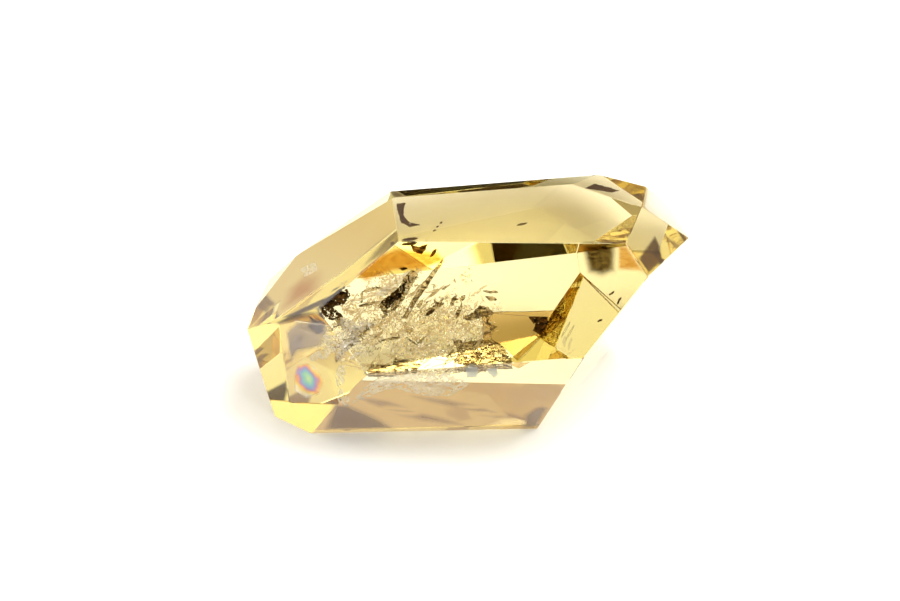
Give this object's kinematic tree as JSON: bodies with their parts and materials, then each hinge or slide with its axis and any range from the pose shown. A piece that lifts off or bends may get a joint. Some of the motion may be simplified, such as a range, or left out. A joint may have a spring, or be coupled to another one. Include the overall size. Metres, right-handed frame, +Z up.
{
  "type": "citrine crystal point",
  "caption": "Short polished citrine point with flat facets, a blunted tip and a sawn base, lying on one long face; a loose mineral specimen for a desk or shelf.",
  "frame": {"origin": "Bottom centre of the bounding box, on the plane of the resting face.", "axes": "+X runs along the crystal from the tip to the sawn base, -Y is the side with the large polished window face, +Z is up."},
  "size_m": [0.0498, 0.0388, 0.0248],
  "materials": {
    "citrine": "polished clear pale yellow quartz"
  },
  "bodies": {
    "root": {"citrine_point": "citrine"}
  },
  "joints": []
}
